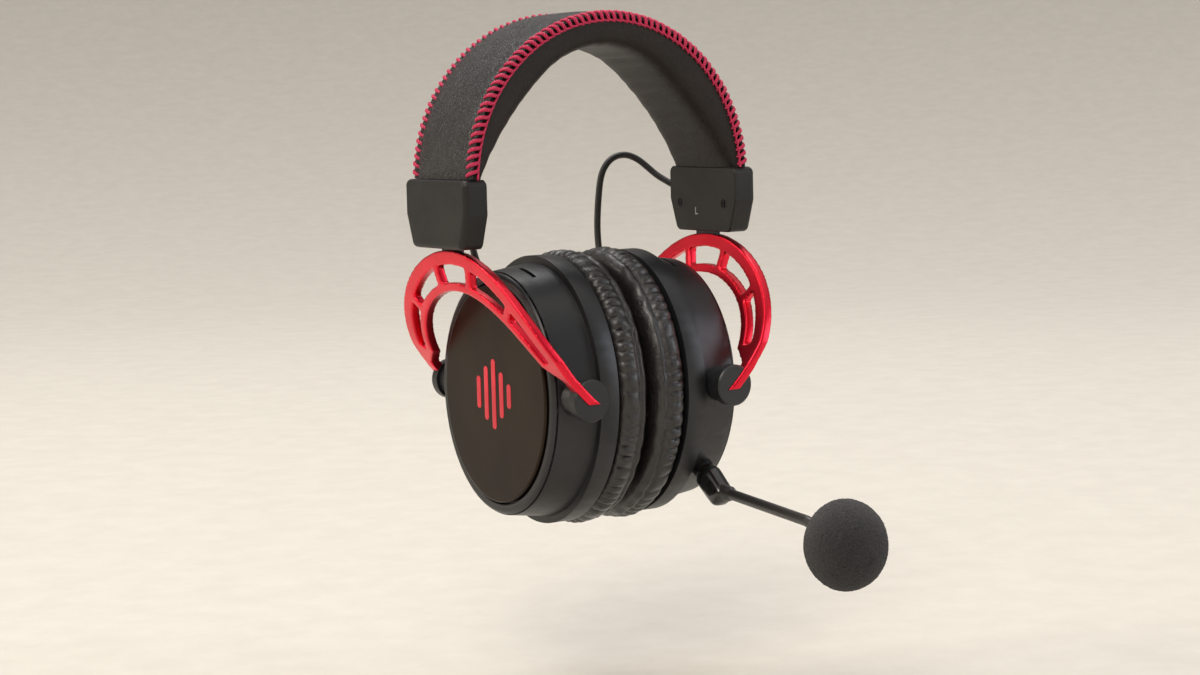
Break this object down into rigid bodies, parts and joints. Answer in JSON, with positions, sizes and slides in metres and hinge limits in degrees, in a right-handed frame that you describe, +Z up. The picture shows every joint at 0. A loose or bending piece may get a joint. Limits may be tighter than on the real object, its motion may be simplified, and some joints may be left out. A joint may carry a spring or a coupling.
{
  "type": "gaming headset",
  "caption": "Over-ear headset with a padded stitched headband, sliding open-window yokes, tilting oval cups, joining cables and a plug-in boom microphone with a foam windscreen.",
  "frame": {"origin": "middle of the underside of the headband crown, where a head or a hook carries the headset", "axes": "+X towards the wearer's left cup, -Y the way the wearer faces, +Z up"},
  "size_m": [0.1294, 0.1865, 0.2023],
  "materials": {
    "grained_leatherette": "grained polyurethane leatherette, matt",
    "smooth_leatherette": "soft smooth leatherette, low sheen",
    "pad_foam": "soft polyurethane foam",
    "spring_steel": "spring steel strip",
    "red_thread": "waxed polyester thread",
    "matte_black_abs": "fine moulded texture, matt",
    "gloss_black_abs": "polished moulding",
    "black_screw": "black oxide screw steel",
    "acetal": "moulded acetal",
    "cable_jacket": "matt soft jacket",
    "red_anodised": "red anodised, satin",
    "satin_black_plate": "black satin, faintly metallic",
    "magnet_steel": "plated steel",
    "driver_film": "thin film diaphragm",
    "scrim_cloth": "fine acoustic mesh",
    "circuit_laminate": "green circuit laminate",
    "gold_contact": "gold plated jack pin",
    "boom_jacket": "satin gooseneck jacket",
    "open_cell_foam": "open cell foam"
  },
  "bodies": {
    "headband": {"detent_leaves": "spring_steel", "edge_stitching": "red_thread", "headband_cover": "grained_leatherette", "headband_foam": "pad_foam", "headband_sleeve": "smooth_leatherette", "headband_spring": "spring_steel", "left_cable_upper": "cable_jacket", "left_cap_grommet": "cable_jacket", "left_cap_inner": "matte_black_abs", "left_cap_outer": "matte_black_abs", "left_cap_screws": "black_screw", "right_cable_upper": "cable_jacket", "right_cap_grommet": "cable_jacket", "right_cap_inner": "matte_black_abs", "right_cap_outer": "matte_black_abs", "right_cap_screws": "black_screw", "slider_guides": "acetal"},
    "left_yoke": {"left_yoke": "red_anodised", "left_slider_strip": "spring_steel", "left_pivot_discs": "matte_black_abs", "left_pivot_pins": "spring_steel"},
    "left_cup": {"left_cup_housing": "matte_black_abs", "left_cup_plate": "satin_black_plate", "left_cup_bezel": "matte_black_abs", "left_baffle": "matte_black_abs", "left_baffle_screws": "black_screw", "left_driver_basket": "acetal", "left_driver_magnet": "magnet_steel", "left_driver_cone": "driver_film", "left_scrim": "scrim_cloth", "left_ear_cushion": "smooth_leatherette", "left_cup_grommet": "cable_jacket", "left_cable_lower": "cable_jacket", "mic_socket": "gloss_black_abs", "cable_jack": "gloss_black_abs", "circuit_board": "circuit_laminate"},
    "right_yoke": {"right_yoke": "red_anodised", "right_slider_strip": "spring_steel", "right_pivot_discs": "matte_black_abs", "right_pivot_pins": "spring_steel"},
    "right_cup": {"right_cup_housing": "matte_black_abs", "right_cup_plate": "satin_black_plate", "right_cup_bezel": "matte_black_abs", "right_baffle": "matte_black_abs", "right_baffle_screws": "black_screw", "right_driver_basket": "acetal", "right_driver_magnet": "magnet_steel", "right_driver_cone": "driver_film", "right_scrim": "scrim_cloth", "right_ear_cushion": "smooth_leatherette", "right_cup_grommet": "cable_jacket", "right_cable_lower": "cable_jacket"},
    "mic_plug": {"mic_plug": "gloss_black_abs", "mic_plug_pin": "gold_contact", "boom_base": "boom_jacket"},
    "mic_middle": {"boom_middle": "boom_jacket"},
    "mic_head": {"boom_tip": "boom_jacket", "capsule_housing": "gloss_black_abs", "mic_capsule": "magnet_steel"},
    "foam_ball": {"windscreen": "open_cell_foam"}
  },
  "joints": [
    {"name": "left_slide", "type": "slide", "parent": "headband", "child": "left_yoke", "axis": [0, 0, -1], "range_m": [0, 0.026], "deforming": ["left_cable_upper"]},
    {"name": "left_tilt", "type": "hinge", "parent": "left_yoke", "child": "left_cup", "pos_m": [0.0316, 0, -0.125], "axis": [0, 1, 0], "range_deg": [-8, 8], "deforming": ["left_ear_cushion", "left_cable_lower"]},
    {"name": "right_slide", "type": "slide", "parent": "headband", "child": "right_yoke", "axis": [0, 0, -1], "range_m": [0, 0.026], "deforming": ["right_cable_upper"]},
    {"name": "right_tilt", "type": "hinge", "parent": "right_yoke", "child": "right_cup", "pos_m": [-0.0316, 0, -0.125], "axis": [0, 1, 0], "range_deg": [-8, 8], "deforming": ["right_ear_cushion", "right_cable_lower"]},
    {"name": "mic_unplug", "type": "slide", "parent": "left_cup", "child": "mic_plug", "axis": [0, -0.7759, -0.6309], "range_m": [0, 0.012]},
    {"name": "mic_bend_1", "type": "hinge", "parent": "mic_plug", "child": "mic_middle", "pos_m": [0.02941, -0.0599, -0.16646], "axis": [-0.9956, 0.0939, 0], "range_deg": [-25, 25]},
    {"name": "mic_bend_2", "type": "hinge", "parent": "mic_middle", "child": "mic_head", "pos_m": [0.02762, -0.07878, -0.16753], "axis": [-0.9956, 0.0939, 0], "range_deg": [-25, 25]},
    {"name": "windscreen_pull", "type": "slide", "parent": "mic_head", "child": "foam_ball", "axis": [-0.0661, -0.9552, -0.2884], "range_m": [0, 0.025]}
  ]
}
